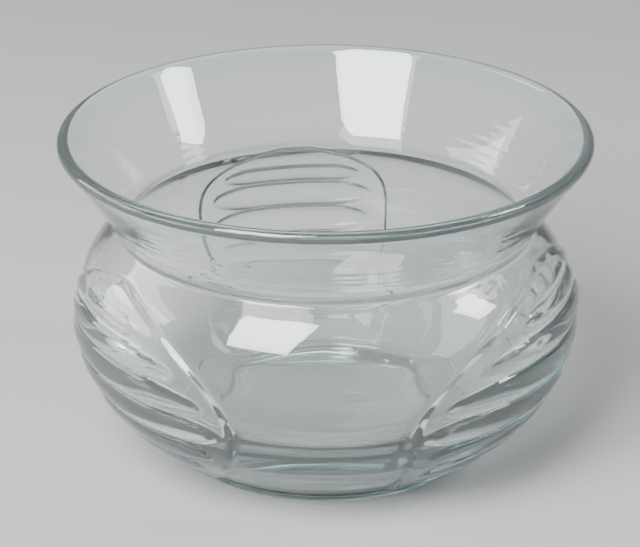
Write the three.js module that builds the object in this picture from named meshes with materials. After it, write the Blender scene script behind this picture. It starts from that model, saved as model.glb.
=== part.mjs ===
// Flared pressed-glass bowl: one piece of clear glass with three arched panels of level ribs.
// Millimetres, +Z up. The origin is the middle of the underside, and the front of the bowl faces -Y.
import * as THREE from 'three';

const DEGREE = Math.PI / 180;

// Outside of the bowl, from the table up
const HEIGHT = 134.7;
const BASE_RADIUS = 63.7;
const BASE_BAND = 2.4;
const BASE_BEVEL = 0.9;
const BELLY_RADIUS = 100.4;
const BELLY_HEIGHT = 63.2;
const NECK_RADIUS = 83.8;
const NECK_HEIGHT = 95.7;
const NECK_ROUNDING = 2.2;
const RIM_RADIUS = 107.6;
const LIP_RADIUS = 2.7;
const FLARE_LEAN = 36.9 * DEGREE;

// How the wall bends: 1 is a straight cone, and 2 is a parabola
const LOWER_BEND = 2.29;
const SHOULDER_BEND = 2.63;

// Inside of the bowl. A bottom power of 2 is half an ellipse, and more is squarer.
const BELLY_WALL = 5;
const NECK_WALL = 4.4;
const FLOOR_THICKNESS = 9;
const BOTTOM_POWER = 2.3;
const INNER_NECK_ROUNDING = 10;

// Shallow recess under the base, which leaves a flat ring to stand on
const STANDING_RING = 14;
const RECESS_DEPTH = 1;
const RECESS_SLOPE = 3;

// Arched panels, raised from the wall. Angles run from the front towards +X. Half a panel spans its half angle
// up to the spring, and its reach is the angle from its middle to the middle of the plain strip beside it.
const RIGHT_MIDDLE = 69 * DEGREE;
const RIGHT_REACH = 69.5 * DEGREE;
const RIGHT_HALF_ANGLE = 50.5 * DEGREE;
const RIGHT_TOP = 92;
const BACK_REACH = 50.5 * DEGREE;
const BACK_HALF_ANGLE = 25.8 * DEGREE;
const BACK_SPRING = 50;
const BACK_TOP = 96.8;
const LEFT_HALF_ANGLE = 40.5 * DEGREE;
const LEFT_TOP = 90;
const SIDE_SPRING = 40;
const PANEL_BOTTOM = 3.4;
const PANEL_RISE = 1.6;
const PANEL_EDGE = 2.6;

// Plain strips keep their width near the foot, and the pattern twists a little there
const STRIP_WIDTH = 66;
const STRIP_CORNER = 2 * DEGREE;
const FOOT_TWIST = 10 * DEGREE;
const TWIST_TOP = 45;

// Level ribs inside a plain border
const BORDER_WIDTH = 8;
const RIB_RISE = 2.3;
const RIB_SPACING = 12.8;
const LOWEST_GROOVE = 10;
const RIB_END = 20;

// Facets: rows to a rib, rings elsewhere, and columns across the plain wall between two panels
const ROWS_PER_RIB = 4;
const NECK_RINGS = 4;
const FLARE_RINGS = 8;
const LIP_RINGS = 5;
const INNER_SHOULDER_RINGS = 5;
const INNER_BELLY_RINGS = 9;
const PLAIN_COLUMNS = 12;
const NARROWEST_COLUMNS = 12 * DEGREE;

const clamp = THREE.MathUtils.clamp;
const lerp = THREE.MathUtils.lerp;
const smoothstep = THREE.MathUtils.smoothstep;

// Larger and smaller of two values, with the corner where they cross rounded off
function roundedMax(a, b, rounding) {
  return (a + b + Math.hypot(a - b, rounding)) / 2;
}

function roundedMin(a, b, rounding) {
  return (a + b - Math.hypot(a - b, rounding)) / 2;
}

// Circle that rounds the lip, and the two points where the flare runs into it
const lipCentre = { r: RIM_RADIUS - LIP_RADIUS, z: HEIGHT - LIP_RADIUS };

function lipPoint(angle) {
  return {
    r: lipCentre.r + LIP_RADIUS * Math.cos(angle),
    z: lipCentre.z + LIP_RADIUS * Math.sin(angle),
  };
}

// Flare from the neck to the lip, which leaves the neck at its own slope and leans by FLARE_LEAN at the lip
function flareRadius(z, neck, end) {
  const rise = end.z - NECK_HEIGHT;
  const t = (z - NECK_HEIGHT) / rise;
  const start = 2 * (end.r - neck) - rise * Math.tan(FLARE_LEAN);
  return neck + start * t + (end.r - neck - start) * Math.max(t, 0) * t;
}

function shoulderRadius(z, belly, neck) {
  const t = clamp((z - BELLY_HEIGHT) / (NECK_HEIGHT - BELLY_HEIGHT), 0, 2);
  return belly - (belly - neck) * t ** SHOULDER_BEND;
}

const flareFoot = lipPoint(-FLARE_LEAN);
const flareInner = lipPoint(Math.PI - FLARE_LEAN);

// Plain outer wall, without its panels
function wallRadius(z) {
  if (z <= BELLY_HEIGHT) {
    const t = clamp((BELLY_HEIGHT - z) / (BELLY_HEIGHT - BASE_BAND), 0, 1);
    return BELLY_RADIUS - (BELLY_RADIUS - BASE_RADIUS) * t ** LOWER_BEND;
  }
  const shoulder = shoulderRadius(z, BELLY_RADIUS, NECK_RADIUS);
  return roundedMax(shoulder, flareRadius(z, NECK_RADIUS, flareFoot), NECK_ROUNDING);
}

// Inner wall: a rounded bottom, and above the belly a smooth form of its own
const innerBelly = BELLY_RADIUS - BELLY_WALL;
const innerNeck = NECK_RADIUS + NECK_ROUNDING / 2 - NECK_WALL - INNER_NECK_ROUNDING / 2;

function boreRadius(z) {
  if (z <= BELLY_HEIGHT) {
    const t = clamp((BELLY_HEIGHT - z) / (BELLY_HEIGHT - FLOOR_THICKNESS), 0, 1);
    return innerBelly * (1 - t ** BOTTOM_POWER) ** (1 / BOTTOM_POWER);
  }
  const shoulder = shoulderRadius(z, innerBelly, innerNeck);
  const flare = flareRadius(z, innerNeck, flareInner);
  const blend = clamp((flareInner.z - z) / (flareInner.z - NECK_HEIGHT), 0, 1);
  return roundedMax(shoulder, flare, INNER_NECK_ROUNDING * blend);
}

// The strips beside the panels meet at three angles, which set the middles of the back and left panels
const leftReach = Math.PI - RIGHT_REACH - BACK_REACH;
const panels = [
  {
    middle: RIGHT_MIDDLE,
    reach: RIGHT_REACH,
    half: RIGHT_HALF_ANGLE,
    spring: SIDE_SPRING,
    top: RIGHT_TOP,
    bend: 1.8,
    point: 0.6,
  },
  {
    middle: RIGHT_MIDDLE + RIGHT_REACH + BACK_REACH,
    reach: BACK_REACH,
    half: BACK_HALF_ANGLE,
    spring: BACK_SPRING,
    top: BACK_TOP,
    bend: 4,
    point: 0.5,
  },
  {
    middle: RIGHT_MIDDLE - RIGHT_REACH - leftReach,
    reach: leftReach,
    half: LEFT_HALF_ANGLE,
    spring: SIDE_SPRING,
    top: LEFT_TOP,
    bend: 1.8,
    point: 0.6,
  },
];

// Half the angle that a panel spans at a height: an arch, but no wider than the strips beside it allow
function halfAngle(panel, z) {
  const t = clamp((z - panel.spring) / (panel.top - panel.spring), 0, 1);
  const arch = panel.half * (1 - t ** panel.bend) ** panel.point;
  const room = panel.reach - Math.asin(STRIP_WIDTH / 2 / wallRadius(z));
  return z > BELLY_HEIGHT ? arch : roundedMin(arch, room, STRIP_CORNER);
}

function footTwist(z) {
  return -FOOT_TWIST * clamp(1 - z / TWIST_TOP, 0, 1) ** 2;
}

// Distance along the wall from a point to the side of its panel, square to that side
function sideDistance(panel, z, angle) {
  const radius = wallRadius(z);
  const step = 0.2;
  const slope = (halfAngle(panel, z + step) - halfAngle(panel, z - step)) / (2 * step) * radius;
  return (halfAngle(panel, z) - Math.abs(angle)) * radius / Math.hypot(1, slope);
}

// Where a height lies on its rib, from groove to groove, and how full that rib is
function ribAt(z) {
  if (z < LOWEST_GROOVE) {
    const height = LOWEST_GROOVE - PANEL_BOTTOM;
    return { share: (z - PANEL_BOTTOM) / height, size: height / RIB_SPACING };
  }
  return { share: (z - LOWEST_GROOVE) / RIB_SPACING % 1, size: 1 };
}

// How far a panel stands off the wall, at a height and an angle from the panel's middle
function panelRelief(panel, z, angle) {
  if (z <= PANEL_BOTTOM || z >= panel.top) {
    return 0;
  }
  const side = Math.min(sideDistance(panel, z, angle), panel.top - z);
  const plate = PANEL_RISE * smoothstep(Math.min(side, z - PANEL_BOTTOM), 0, PANEL_EDGE);
  const rib = ribAt(z);
  const across = 2 * rib.share - 1;
  const end = 1 - clamp((side - BORDER_WIDTH) / RIB_END, 0, 1);
  return plate + rib.size * RIB_RISE * Math.sqrt(Math.max(0, 1 - across * across - end * end));
}

// Columns run from the middle of a panel, across the plain wall, to the middle of the next one.
// They follow the panels' sides, and spread evenly up the flare.
const acrossShares = [0, 0.24, 0.46, 0.62, 0.74, 0.84, 0.91, 0.96, 1];

function followedAngle(panel, z, quarter) {
  const spread = clamp((z - panel.top) / (HEIGHT - panel.top), 0, 1);
  return lerp(Math.max(halfAngle(panel, z), NARROWEST_COLUMNS), quarter, spread);
}

function columnAngles(z) {
  const angles = [];
  panels.forEach((panel, i) => {
    const next = panels[(i + 1) % panels.length];
    const gap = panel.reach + next.reach;
    const half = followedAngle(panel, z, gap / 4);
    const nextHalf = followedAngle(next, z, gap / 4);
    const middle = panel.middle + footTwist(z);
    for (const share of acrossShares) {
      angles.push(middle + half * share);
    }
    for (let c = 1; c < PLAIN_COLUMNS; c += 1) {
      angles.push(middle + lerp(half, gap - nextHalf, c / PLAIN_COLUMNS));
    }
    for (const share of acrossShares.slice(1).reverse()) {
      angles.push(middle + gap - nextHalf * share);
    }
  });
  return angles;
}

// Smallest turn from one angle to another
function turnBetween(from, to) {
  return THREE.MathUtils.euclideanModulo(to - from + Math.PI, 2 * Math.PI) - Math.PI;
}

function relief(z, angle) {
  const heights = panels.map((panel) => {
    return panelRelief(panel, z, turnBetween(panel.middle + footTwist(z), angle));
  });
  return Math.max(...heights);
}

// Point at an angle from the front, positive towards +X
function pointAt(angle, radius, z) {
  return [radius * Math.sin(angle), -radius * Math.cos(angle), z];
}

function plainRing(radius, z, anglesFrom) {
  return columnAngles(anglesFrom).map((angle) => pointAt(angle, radius, z));
}

function wallRing(z) {
  return columnAngles(z).map((angle) => pointAt(angle, wallRadius(z) + relief(z, angle), z));
}

function underside() {
  const ringInner = BASE_RADIUS - BASE_BEVEL - STANDING_RING;
  return [
    plainRing(ringInner - RECESS_SLOPE, RECESS_DEPTH, 0),
    plainRing(ringInner, 0, 0),
    plainRing(BASE_RADIUS - BASE_BEVEL, 0, 0),
    plainRing(BASE_RADIUS, BASE_BEVEL, 0),
    plainRing(BASE_RADIUS, BASE_BAND, 0),
  ];
}

// Heights on one rib, closer together towards its grooves
function ribHeights(bottom, top) {
  const heights = [];
  for (let i = 0; i < ROWS_PER_RIB; i += 1) {
    heights.push(lerp(bottom, top, (1 - Math.cos(Math.PI * i / ROWS_PER_RIB)) / 2));
  }
  return heights;
}

function panelRings() {
  const heights = ribHeights(PANEL_BOTTOM, LOWEST_GROOVE);
  const ribs = Math.floor((NECK_HEIGHT - LOWEST_GROOVE) / RIB_SPACING);
  for (let i = 0; i < ribs; i += 1) {
    const groove = LOWEST_GROOVE + i * RIB_SPACING;
    heights.push(...ribHeights(groove, groove + RIB_SPACING));
  }
  const highestGroove = LOWEST_GROOVE + ribs * RIB_SPACING;
  for (let i = 0; i < NECK_RINGS; i += 1) {
    heights.push(lerp(highestGroove, NECK_HEIGHT, i / NECK_RINGS));
  }
  return heights.map(wallRing);
}

// Closer together at the neck, where the wall turns out
function flareRings() {
  const rings = [];
  for (let i = 0; i < FLARE_RINGS; i += 1) {
    rings.push(wallRing(lerp(NECK_HEIGHT, flareFoot.z, (i / FLARE_RINGS) ** 1.4)));
  }
  return rings;
}

function lipRings() {
  const rings = [];
  for (let i = 0; i <= LIP_RINGS; i += 1) {
    const point = lipPoint(-FLARE_LEAN + Math.PI * i / LIP_RINGS);
    rings.push(plainRing(point.r, point.z, HEIGHT));
  }
  return rings;
}

// Down the inside, from the lip to the neck, to the belly, and round to the floor
function innerRings() {
  const heights = [];
  for (let i = 1; i < FLARE_RINGS; i += 1) {
    heights.push(lerp(NECK_HEIGHT, flareInner.z, (1 - i / FLARE_RINGS) ** 1.4));
  }
  for (let i = 0; i < INNER_SHOULDER_RINGS; i += 1) {
    heights.push(lerp(NECK_HEIGHT, BELLY_HEIGHT, i / INNER_SHOULDER_RINGS));
  }
  for (let i = 0; i < INNER_BELLY_RINGS; i += 1) {
    const depth = Math.sin(Math.PI / 2 * i / INNER_BELLY_RINGS);
    heights.push(lerp(BELLY_HEIGHT, FLOOR_THICKNESS, depth));
  }
  return heights.map((z) => plainRing(boreRadius(z), z, HEIGHT));
}

// Skin over a stack of rings that starts and ends on the axis
function closedSkin(rings, bottomZ, topZ) {
  const columns = rings[0].length;
  const points = [[0, 0, bottomZ], ...rings.flat(), [0, 0, topZ]];
  const top = points.length - 1;
  const index = [];
  const at = (ring, column) => 1 + ring * columns + column % columns;
  for (let c = 0; c < columns; c += 1) {
    index.push(0, at(0, c + 1), at(0, c));
    index.push(top, at(rings.length - 1, c), at(rings.length - 1, c + 1));
    for (let ring = 0; ring < rings.length - 1; ring += 1) {
      index.push(at(ring, c), at(ring, c + 1), at(ring + 1, c + 1));
      index.push(at(ring, c), at(ring + 1, c + 1), at(ring + 1, c));
    }
  }
  const geometry = new THREE.BufferGeometry();
  geometry.setAttribute('position', new THREE.Float32BufferAttribute(points.flat(), 3));
  geometry.setIndex(index);
  geometry.computeVertexNormals();
  return geometry;
}

function makeBowl() {
  const rings = [
    ...underside(),
    ...panelRings(),
    ...flareRings(),
    ...lipRings(),
    ...innerRings(),
  ];
  const glass = new THREE.MeshStandardMaterial({
    color: 0xdfeeee,
    roughness: 0.03,
    metalness: 0,
    transparent: true,
    opacity: 0.35,
  });
  const bowl = new THREE.Mesh(closedSkin(rings, RECESS_DEPTH, FLOOR_THICKNESS), glass);
  bowl.name = 'bowl';
  return bowl;
}

const group = new THREE.Group();
group.add(makeBowl());

export default group;
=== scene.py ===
"""Looks of a clear pressed-glass bowl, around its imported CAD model. Metres, +Z up, front towards -Y."""
from math import asin, cos, hypot, pi, radians, sin, tan

import bpy
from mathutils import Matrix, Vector


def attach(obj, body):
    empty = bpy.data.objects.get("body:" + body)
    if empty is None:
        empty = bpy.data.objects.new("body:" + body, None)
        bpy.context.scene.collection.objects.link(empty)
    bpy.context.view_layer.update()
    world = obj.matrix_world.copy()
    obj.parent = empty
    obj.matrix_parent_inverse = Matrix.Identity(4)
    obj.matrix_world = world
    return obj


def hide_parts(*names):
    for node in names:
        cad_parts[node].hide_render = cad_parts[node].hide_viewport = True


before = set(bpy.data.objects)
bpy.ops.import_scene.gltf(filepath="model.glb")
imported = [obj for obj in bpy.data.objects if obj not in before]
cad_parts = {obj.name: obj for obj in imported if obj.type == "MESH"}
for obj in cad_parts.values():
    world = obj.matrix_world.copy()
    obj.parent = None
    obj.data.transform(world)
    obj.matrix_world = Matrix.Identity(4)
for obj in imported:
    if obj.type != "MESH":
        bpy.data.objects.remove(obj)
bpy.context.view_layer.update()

MM = 0.001

# Outside of the bowl, in millimetres
HEIGHT = 134.7
BASE_RADIUS = 63.7
BASE_BAND = 2.4
BASE_BEVEL = 0.9
BELLY_RADIUS = 100.4
BELLY_HEIGHT = 63.2
NECK_RADIUS = 83.8
NECK_HEIGHT = 95.7
NECK_ROUNDING = 2.2
RIM_RADIUS = 107.6
LIP_RADIUS = 2.7
FLARE_LEAN = radians(36.9)

# How the wall bends: 1 is a straight cone, and 2 is a parabola
LOWER_BEND = 2.29
SHOULDER_BEND = 2.63

# Inside of the bowl. A bottom power of 2 is half an ellipse, and more is squarer. The rounding of the neck
# comes in above the belly, over the height of its ease.
BELLY_WALL = 5.0
NECK_WALL = 4.4
FLOOR_THICKNESS = 9.0
BOTTOM_POWER = 2.3
INNER_NECK_ROUNDING = 10.0
INNER_NECK_EASE = 13.0

# Recess under the base, which leaves a flat ring to stand on
STANDING_RING = 14.0
RECESS_DEPTH = 1.0
RECESS_SLOPE = 3.0

# Panels. Half a panel spans its half angle up to the spring, and its reach is the angle from its middle
# to the middle of the plain strip beside it.
RIGHT_MIDDLE = radians(69)
RIGHT_REACH = radians(69.5)
BACK_REACH = radians(50.5)
LEFT_REACH = pi - RIGHT_REACH - BACK_REACH
PANELS = (
    dict(middle=RIGHT_MIDDLE, reach=RIGHT_REACH,
         half=radians(50.5), spring=40.0, top=92.0, bend=1.8, point=0.6),
    dict(middle=RIGHT_MIDDLE + RIGHT_REACH + BACK_REACH, reach=BACK_REACH,
         half=radians(25.8), spring=50.0, top=96.8, bend=4.0, point=0.5),
    dict(middle=RIGHT_MIDDLE - RIGHT_REACH - LEFT_REACH, reach=LEFT_REACH,
         half=radians(40.5), spring=40.0, top=90.0, bend=1.8, point=0.6),
)
PATTERN_TOP = max(panel["top"] for panel in PANELS)
PANEL_BOTTOM = 3.4
PANEL_RISE = 1.6
PANEL_EDGE = 2.6
STRIP_WIDTH = 66.0
STRIP_CORNER = radians(2)
FOOT_TWIST = radians(10)
TWIST_TOP = 45.0

# Level ribs inside a plain border
BORDER_WIDTH = 8.0
RIB_RISE = 2.3
RIB_SPACING = 12.8
LOWEST_GROOVE = 10.0
RIB_END = 20.0
FULL_RIBS = int((NECK_HEIGHT - LOWEST_GROOVE) / RIB_SPACING)
HIGHEST_GROOVE = LOWEST_GROOVE + FULL_RIBS * RIB_SPACING

# Faint level rings round the outside of the neck and flare, in two spacings that waver a little.
# They begin at the first height, are full between the next two, and have died out at the last.
RING_SPACINGS = (4.6, 3.1)
RING_RISE = 0.025
RING_WAVER = 0.9
RINGS_START = 86.0
RINGS_FULL = 95.0
RINGS_FADE = 101.0
RINGS_END = 120.0

# Glass. The body is all but colourless, and the lip and long paths through the glass are pale aqua.
BODY_COLOR = (0.985, 0.992, 0.991, 1)
LIP_COLOR = (0.86, 0.97, 0.96, 1)
LIP_START = 125.0
CLEARNESS = 0.97
REFRACTIVE_INDEX = 1.5
PATH_COLOR = (0.35, 0.95, 0.91, 1)
PATH_DENSITY = 5.0

# Smears lie where a fine noise passes the first of two levels, and are full at the second
SMEARS_PER_METRE = 38
SMEAR_DETAIL = 3
SMEAR_LEVELS = (0.45, 0.75)
SMEAR_ROUGHNESS = 0.05

# Soft waves in the surface, with their height in metres
WAVES_PER_METRE = 30
WAVE_DETAIL = 0
WAVE_HEIGHT = 0.0001

# Rows of facets, in the order in which they are made, from the middle of the underside to the floor inside
RECESS_SHARES = (0.2, 0.5, 0.8)
RECESS_SLOPE_ROWS = 4
BEVEL_ROWS = 5
BAND_ROWS = 3
ROWS_PER_RIB = 14
NECK_ROWS = 28
FLARE_ROWS = 74
LIP_ROWS = 16
INNER_FLARE_ROWS = 16
INNER_SHOULDER_ROWS = 14
INNER_BELLY_ROWS = 40

# Columns of facets. Bunching of 0 spaces them evenly across half a panel, and more brings them closer
# together towards its side.
COLUMNS_IN_PANEL = 40
COLUMN_BUNCHING = 0.45
PLAIN_COLUMNS = 27
NARROWEST_COLUMNS = radians(12)

# Studio, in metres. The floor lies a hair below the bowl and reaches further behind it than in front,
# and the lights point at the middle of the bowl.
FLOOR_SIZE = 6
FLOOR_PLACE = (0, 1.2, -0.0002)
FLOOR_COLOR = (0.28, 0.28, 0.28, 1)
FLOOR_ROUGHNESS = 0.7
AMBIENT_COLOR = (0.9, 0.93, 0.95, 1)
AMBIENT_STRENGTH = 0.24
LIGHT_AIM = Vector((0, 0, 0.07))

# Camera at the photograph's viewing angle. The photograph's width and the focal length are in its pixels,
# and the sensor's width is in millimetres.
PHOTO_WIDTH = 640
FOCAL_LENGTH = 2600
SENSOR_WIDTH = 36
CAMERA_PLACE = (-0.0022, -0.9765, 0.505)
CAMERA_DIP = radians(23.93)


def clamp(x, a, b):
    return max(a, min(b, x))


def lerp(a, b, t):
    return a + (b - a) * t


def smoothstep(x, a, b):
    t = clamp((x - a) / (b - a), 0.0, 1.0)
    return t * t * (3 - 2 * t)


def rounded_max(a, b, rounding):
    """Larger of two values, with the corner where they cross rounded off."""
    return (a + b + hypot(a - b, rounding)) / 2


def rounded_min(a, b, rounding):
    return (a + b - hypot(a - b, rounding)) / 2


def spaced(a, b, n):
    """Values from a up to, but not including, b."""
    return [lerp(a, b, i / n) for i in range(n)]


def bunched(a, b, n):
    """The same, closer together towards both ends."""
    return [lerp(a, b, (1 - cos(pi * i / n)) / 2) for i in range(n)]


# Profile

def lip_point(angle):
    return (RIM_RADIUS - LIP_RADIUS + LIP_RADIUS * cos(angle), HEIGHT - LIP_RADIUS + LIP_RADIUS * sin(angle))


FLARE_FOOT = lip_point(-FLARE_LEAN)
FLARE_INNER = lip_point(pi - FLARE_LEAN)


def flare_radius(z, neck, end):
    """Flare that leaves the neck at its own slope, and leans by FLARE_LEAN at the lip."""
    rise = end[1] - NECK_HEIGHT
    t = (z - NECK_HEIGHT) / rise
    start = 2 * (end[0] - neck) - rise * tan(FLARE_LEAN)
    return neck + start * t + (end[0] - neck - start) * max(t, 0) * t


def shoulder_radius(z, belly, neck):
    t = clamp((z - BELLY_HEIGHT) / (NECK_HEIGHT - BELLY_HEIGHT), 0, 2)
    return belly - (belly - neck) * t ** SHOULDER_BEND


def wall_radius(z):
    """Plain outer wall, without its panels."""
    if z <= BELLY_HEIGHT:
        t = clamp((BELLY_HEIGHT - z) / (BELLY_HEIGHT - BASE_BAND), 0, 1)
        return BELLY_RADIUS - (BELLY_RADIUS - BASE_RADIUS) * t ** LOWER_BEND
    shoulder = shoulder_radius(z, BELLY_RADIUS, NECK_RADIUS)
    return rounded_max(shoulder, flare_radius(z, NECK_RADIUS, FLARE_FOOT), NECK_ROUNDING)


INNER_BELLY = BELLY_RADIUS - BELLY_WALL
INNER_NECK = NECK_RADIUS + NECK_ROUNDING / 2 - NECK_WALL - INNER_NECK_ROUNDING / 2


def bore_radius(z):
    """Inner wall: a rounded bottom, and a neck whose rounding dies out towards the lip and the belly."""
    if z <= BELLY_HEIGHT:
        t = clamp((BELLY_HEIGHT - z) / (BELLY_HEIGHT - FLOOR_THICKNESS), 0, 1)
        return INNER_BELLY * (1 - t ** BOTTOM_POWER) ** (1 / BOTTOM_POWER)
    shoulder = shoulder_radius(z, INNER_BELLY, INNER_NECK)
    above = clamp((FLARE_INNER[1] - z) / (FLARE_INNER[1] - NECK_HEIGHT), 0, 1)
    below = smoothstep(z, BELLY_HEIGHT, BELLY_HEIGHT + INNER_NECK_EASE)
    rounding = INNER_NECK_ROUNDING * min(above, below)
    return rounded_max(shoulder, flare_radius(z, INNER_NECK, FLARE_INNER), rounding)


# Relief of the panels and the faint rings

def half_angle(panel, z):
    """Half the angle a panel spans: an arch, but no wider than the strips beside it allow."""
    t = clamp((z - panel["spring"]) / (panel["top"] - panel["spring"]), 0, 1)
    arch = panel["half"] * (1 - t ** panel["bend"]) ** panel["point"]
    if z > BELLY_HEIGHT:
        return arch
    return rounded_min(arch, panel["reach"] - asin(STRIP_WIDTH / 2 / wall_radius(z)), STRIP_CORNER)


def foot_twist(z):
    return -FOOT_TWIST * clamp(1 - z / TWIST_TOP, 0, 1) ** 2


def side_distance(panel, z, angle):
    """Distance in mm along the wall to the side of the panel, square to that side."""
    step = 0.2
    r = wall_radius(z)
    slope = (half_angle(panel, z + step) - half_angle(panel, z - step)) / (2 * step) * r
    return (half_angle(panel, z) - abs(angle)) * r / hypot(1, slope)


def rib_at(z):
    """Where a height lies on its rib, from groove to groove, and how full that rib is."""
    if z < LOWEST_GROOVE:
        height = LOWEST_GROOVE - PANEL_BOTTOM
        return (z - PANEL_BOTTOM) / height, height / RIB_SPACING
    return (z - LOWEST_GROOVE) / RIB_SPACING % 1, 1.0


def panel_relief(panel, z, angle):
    """How far a panel stands off the wall, at a height and an angle from the panel's middle."""
    if not PANEL_BOTTOM < z < panel["top"]:
        return 0.0
    side = min(side_distance(panel, z, angle), panel["top"] - z)
    plate = PANEL_RISE * smoothstep(min(side, z - PANEL_BOTTOM), 0, PANEL_EDGE)
    share, size = rib_at(z)
    end = 1 - clamp((side - BORDER_WIDTH) / RIB_END, 0, 1)
    return plate + size * RIB_RISE * max(0, 1 - (2 * share - 1) ** 2 - end ** 2) ** 0.5


def relief(z, angle):
    turns = [(angle - panel["middle"] - foot_twist(z) + pi) % (2 * pi) - pi for panel in PANELS]
    return max(panel_relief(panel, z, turn) for panel, turn in zip(PANELS, turns))


def level_rings(z, angle):
    """How far the faint rings stand off the wall. They waver twice and three times round the bowl."""
    share = smoothstep(z, RINGS_START, RINGS_FULL) * (1 - smoothstep(z, RINGS_FADE, RINGS_END))
    waver = RING_WAVER * sin(2 * angle + 1) * sin(3 * angle)
    return share * RING_RISE * sum(sin(2 * pi * (z + waver) / spacing) for spacing in RING_SPACINGS)


# Rings. Columns follow the panels' sides, and spread evenly up the flare.

def followed_angle(panel, z, quarter):
    spread = clamp((z - panel["top"]) / (HEIGHT - panel["top"]), 0, 1)
    return lerp(max(half_angle(panel, z), NARROWEST_COLUMNS), quarter, spread)


# Shares of half a panel from its middle to its side
EVEN_SHARES = spaced(0, 1, COLUMNS_IN_PANEL) + [1]
ACROSS_SHARES = [lerp(share, sin(pi / 2 * share), COLUMN_BUNCHING) for share in EVEN_SHARES]


def column_angles(z):
    angles = []
    for panel, after in zip(PANELS, PANELS[1:] + PANELS[:1]):
        gap = panel["reach"] + after["reach"]
        half = followed_angle(panel, z, gap / 4)
        half_after = followed_angle(after, z, gap / 4)
        middle = panel["middle"] + foot_twist(z)
        angles += [middle + half * share for share in ACROSS_SHARES]
        angles += [middle + a for a in spaced(half, gap - half_after, PLAIN_COLUMNS)[1:]]
        angles += [middle + gap - half_after * share for share in reversed(ACROSS_SHARES[1:])]
    return angles


FOOT_ANGLES = column_angles(0)
RIM_ANGLES = column_angles(HEIGHT)


def point_at(angle, radius, z):
    """Point in metres, at an angle from the front that is positive towards +X."""
    return (radius * sin(angle) * MM, -radius * cos(angle) * MM, z * MM)


def plain_ring(radius, z, angles):
    return [point_at(a, radius, z) for a in angles]


def wall_ring(z):
    radius = wall_radius(z)
    return [point_at(a, radius + relief(z, a) + level_rings(z, a), z) for a in column_angles(z)]


def underside():
    """Recess, its slope down to the standing ring, the bevel and the upright band."""
    outer = BASE_RADIUS - BASE_BEVEL
    inner = outer - STANDING_RING
    recess = inner - RECESS_SLOPE
    profile = [(recess * share, RECESS_DEPTH) for share in RECESS_SHARES]
    for t in spaced(0, 1, RECESS_SLOPE_ROWS):
        profile.append((lerp(recess, inner, t), RECESS_DEPTH * (1 - smoothstep(t, 0, 1))))
    profile += [(inner, 0), ((inner + outer) / 2, 0)]
    for a in spaced(0, pi / 2, BEVEL_ROWS):
        profile.append((outer + BASE_BEVEL * sin(a), BASE_BEVEL * (1 - cos(a))))
    profile += [(BASE_RADIUS, z) for z in spaced(BASE_BEVEL, BASE_BAND, BAND_ROWS) + [BASE_BAND]]
    above = (BASE_BAND + PANEL_BOTTOM) / 2
    profile.append((wall_radius(above), above))
    return [plain_ring(radius, z, FOOT_ANGLES) for radius, z in profile]


def outer_wall():
    heights = bunched(PANEL_BOTTOM, LOWEST_GROOVE, ROWS_PER_RIB)
    for i in range(FULL_RIBS):
        groove = LOWEST_GROOVE + i * RIB_SPACING
        heights += bunched(groove, groove + RIB_SPACING, ROWS_PER_RIB)
    heights += spaced(HIGHEST_GROOVE, PATTERN_TOP, NECK_ROWS)
    heights += spaced(PATTERN_TOP, FLARE_FOOT[1], FLARE_ROWS)
    return [wall_ring(z) for z in heights]


def lip():
    angles = [-FLARE_LEAN + pi * i / LIP_ROWS for i in range(LIP_ROWS + 1)]
    return [plain_ring(*lip_point(angle), RIM_ANGLES) for angle in angles]


def inner_wall():
    heights = spaced(FLARE_INNER[1], NECK_HEIGHT, INNER_FLARE_ROWS)[1:]
    heights += spaced(NECK_HEIGHT, BELLY_HEIGHT, INNER_SHOULDER_ROWS)
    heights += [lerp(BELLY_HEIGHT, FLOOR_THICKNESS, sin(a)) for a in spaced(0, pi / 2, INNER_BELLY_ROWS)]
    return [plain_ring(bore_radius(z), z, RIM_ANGLES) for z in heights]


def closed_skin(name, rings, bottom, top):
    """Skin over a stack of rings that starts and ends on the axis."""
    columns = len(rings[0])
    last = len(rings) - 1
    points = [(0, 0, bottom)] + [point for ring in rings for point in ring] + [(0, 0, top)]

    def at(ring, column):
        return 1 + ring * columns + column % columns

    faces = []
    for c in range(columns):
        faces.append((0, at(0, c + 1), at(0, c)))
        faces.append((len(points) - 1, at(last, c), at(last, c + 1)))
        for r in range(last):
            faces.append((at(r, c), at(r, c + 1), at(r + 1, c + 1), at(r + 1, c)))
    mesh = bpy.data.meshes.new(name)
    mesh.from_pydata(points, [], faces)
    mesh.shade_smooth()
    return mesh


# Materials

def new_material(name):
    material = bpy.data.materials.new(name)
    material.use_nodes = True
    return material


def add_node(tree, kind, **settings):
    node = tree.nodes.new(kind)
    for key, value in settings.items():
        setattr(node, key, value)
    return node


def set_inputs(node, values):
    for name, value in values.items():
        node.inputs[name].default_value = value


def add_noise(tree, vector, scale, detail):
    noise = add_node(tree, "ShaderNodeTexNoise")
    set_inputs(noise, {"Scale": scale, "Detail": detail})
    tree.links.new(vector, noise.inputs["Vector"])
    return noise.outputs["Fac"]


def add_range(tree, value, source, target):
    """Value of a source range, carried over to a target range along an S-curve."""
    node = add_node(tree, "ShaderNodeMapRange", interpolation_type="SMOOTHSTEP")
    set_inputs(node, {"From Min": source[0], "From Max": source[1], "To Min": target[0], "To Max": target[1]})
    tree.links.new(value, node.inputs["Value"])
    return node.outputs["Result"]


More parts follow.
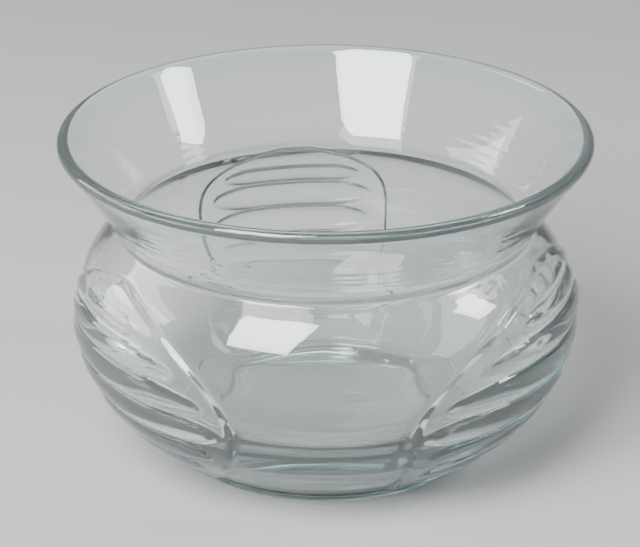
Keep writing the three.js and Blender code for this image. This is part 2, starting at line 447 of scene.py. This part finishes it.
def make_glass():
    """Clear glass, faintly aqua in the lip and along long paths, with soft waves and faint smears."""
    material = new_material("clear_glass")
    tree = material.node_tree
    shader = tree.nodes["Principled BSDF"]
    set_inputs(shader, {"Transmission Weight": CLEARNESS, "IOR": REFRACTIVE_INDEX})

    place = add_node(tree, "ShaderNodeTexCoord").outputs["Object"]
    split = add_node(tree, "ShaderNodeSeparateXYZ")
    tree.links.new(place, split.inputs["Vector"])

    lip_heights = (LIP_START * MM, (HEIGHT - LIP_RADIUS) * MM)
    color = add_node(tree, "ShaderNodeMix", data_type="RGBA")
    set_inputs(color, {"A": BODY_COLOR, "B": LIP_COLOR})
    tree.links.new(add_range(tree, split.outputs["Z"], lip_heights, (0, 1)), color.inputs["Factor"])
    tree.links.new(color.outputs["Result"], shader.inputs["Base Color"])

    smears = add_noise(tree, place, SMEARS_PER_METRE, SMEAR_DETAIL)
    roughness = add_range(tree, smears, SMEAR_LEVELS, (0, SMEAR_ROUGHNESS))
    tree.links.new(roughness, shader.inputs["Roughness"])

    bump = add_node(tree, "ShaderNodeBump")
    set_inputs(bump, {"Distance": WAVE_HEIGHT})
    tree.links.new(add_noise(tree, place, WAVES_PER_METRE, WAVE_DETAIL), bump.inputs["Height"])
    tree.links.new(bump.outputs["Normal"], shader.inputs["Normal"])

    absorb = add_node(tree, "ShaderNodeVolumeAbsorption")
    set_inputs(absorb, {"Color": PATH_COLOR, "Density": PATH_DENSITY})
    tree.links.new(absorb.outputs["Volume"], tree.nodes["Material Output"].inputs["Volume"])
    return material


def make_floor_material():
    material = new_material("pale_floor")
    shader = material.node_tree.nodes["Principled BSDF"]
    set_inputs(shader, {"Base Color": FLOOR_COLOR, "Roughness": FLOOR_ROUGHNESS})
    return material


def softbox(name, place, width, height, power):
    data = bpy.data.lights.new(name, "AREA")
    data.shape = "RECTANGLE"
    data.size = width
    data.size_y = height
    data.energy = power
    lamp = bpy.data.objects.new(name, data)
    lamp.location = place
    lamp.rotation_euler = (LIGHT_AIM - Vector(place)).to_track_quat("-Z", "Y").to_euler()
    bpy.context.scene.collection.objects.link(lamp)


# Bowl
rings = underside() + outer_wall() + lip() + inner_wall()
mesh = closed_skin("bowl_glass", rings, RECESS_DEPTH * MM, FLOOR_THICKNESS * MM)
mesh.materials.append(make_glass())
bowl = bpy.data.objects.new("bowl_glass", mesh)
bpy.context.scene.collection.objects.link(bowl)
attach(bowl, "root")
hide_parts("bowl")

# Floor
bpy.ops.mesh.primitive_plane_add(size=FLOOR_SIZE, location=FLOOR_PLACE)
floor = bpy.context.object
floor.name = "studio_floor"
floor.data.materials.append(make_floor_material())

# Light
world = bpy.data.worlds.new("studio")
world.use_nodes = True
set_inputs(world.node_tree.nodes["Background"], {"Color": AMBIENT_COLOR, "Strength": AMBIENT_STRENGTH})
bpy.context.scene.world = world
softbox("key", place=(-0.66, -1.05, 1.3), width=0.85, height=1.2, power=125)
softbox("side", place=(1.6, -0.05, 1.3), width=0.45, height=0.6, power=26)
softbox("low", place=(-1.0, 0.15, 0.35), width=0.7, height=0.45, power=8)
softbox("top", place=(0.1, 0.5, 1.3), width=0.9, height=0.7, power=4)

# Camera
camera = bpy.data.objects.new("camera", bpy.data.cameras.new("camera"))
camera.data.sensor_fit = "HORIZONTAL"
camera.data.sensor_width = SENSOR_WIDTH
camera.data.lens = SENSOR_WIDTH * FOCAL_LENGTH / PHOTO_WIDTH
camera.location = CAMERA_PLACE
camera.rotation_euler = (pi / 2 - CAMERA_DIP, 0, 0)
bpy.context.scene.collection.objects.link(camera)
bpy.context.scene.camera = camera

bpy.context.view_layer.update()
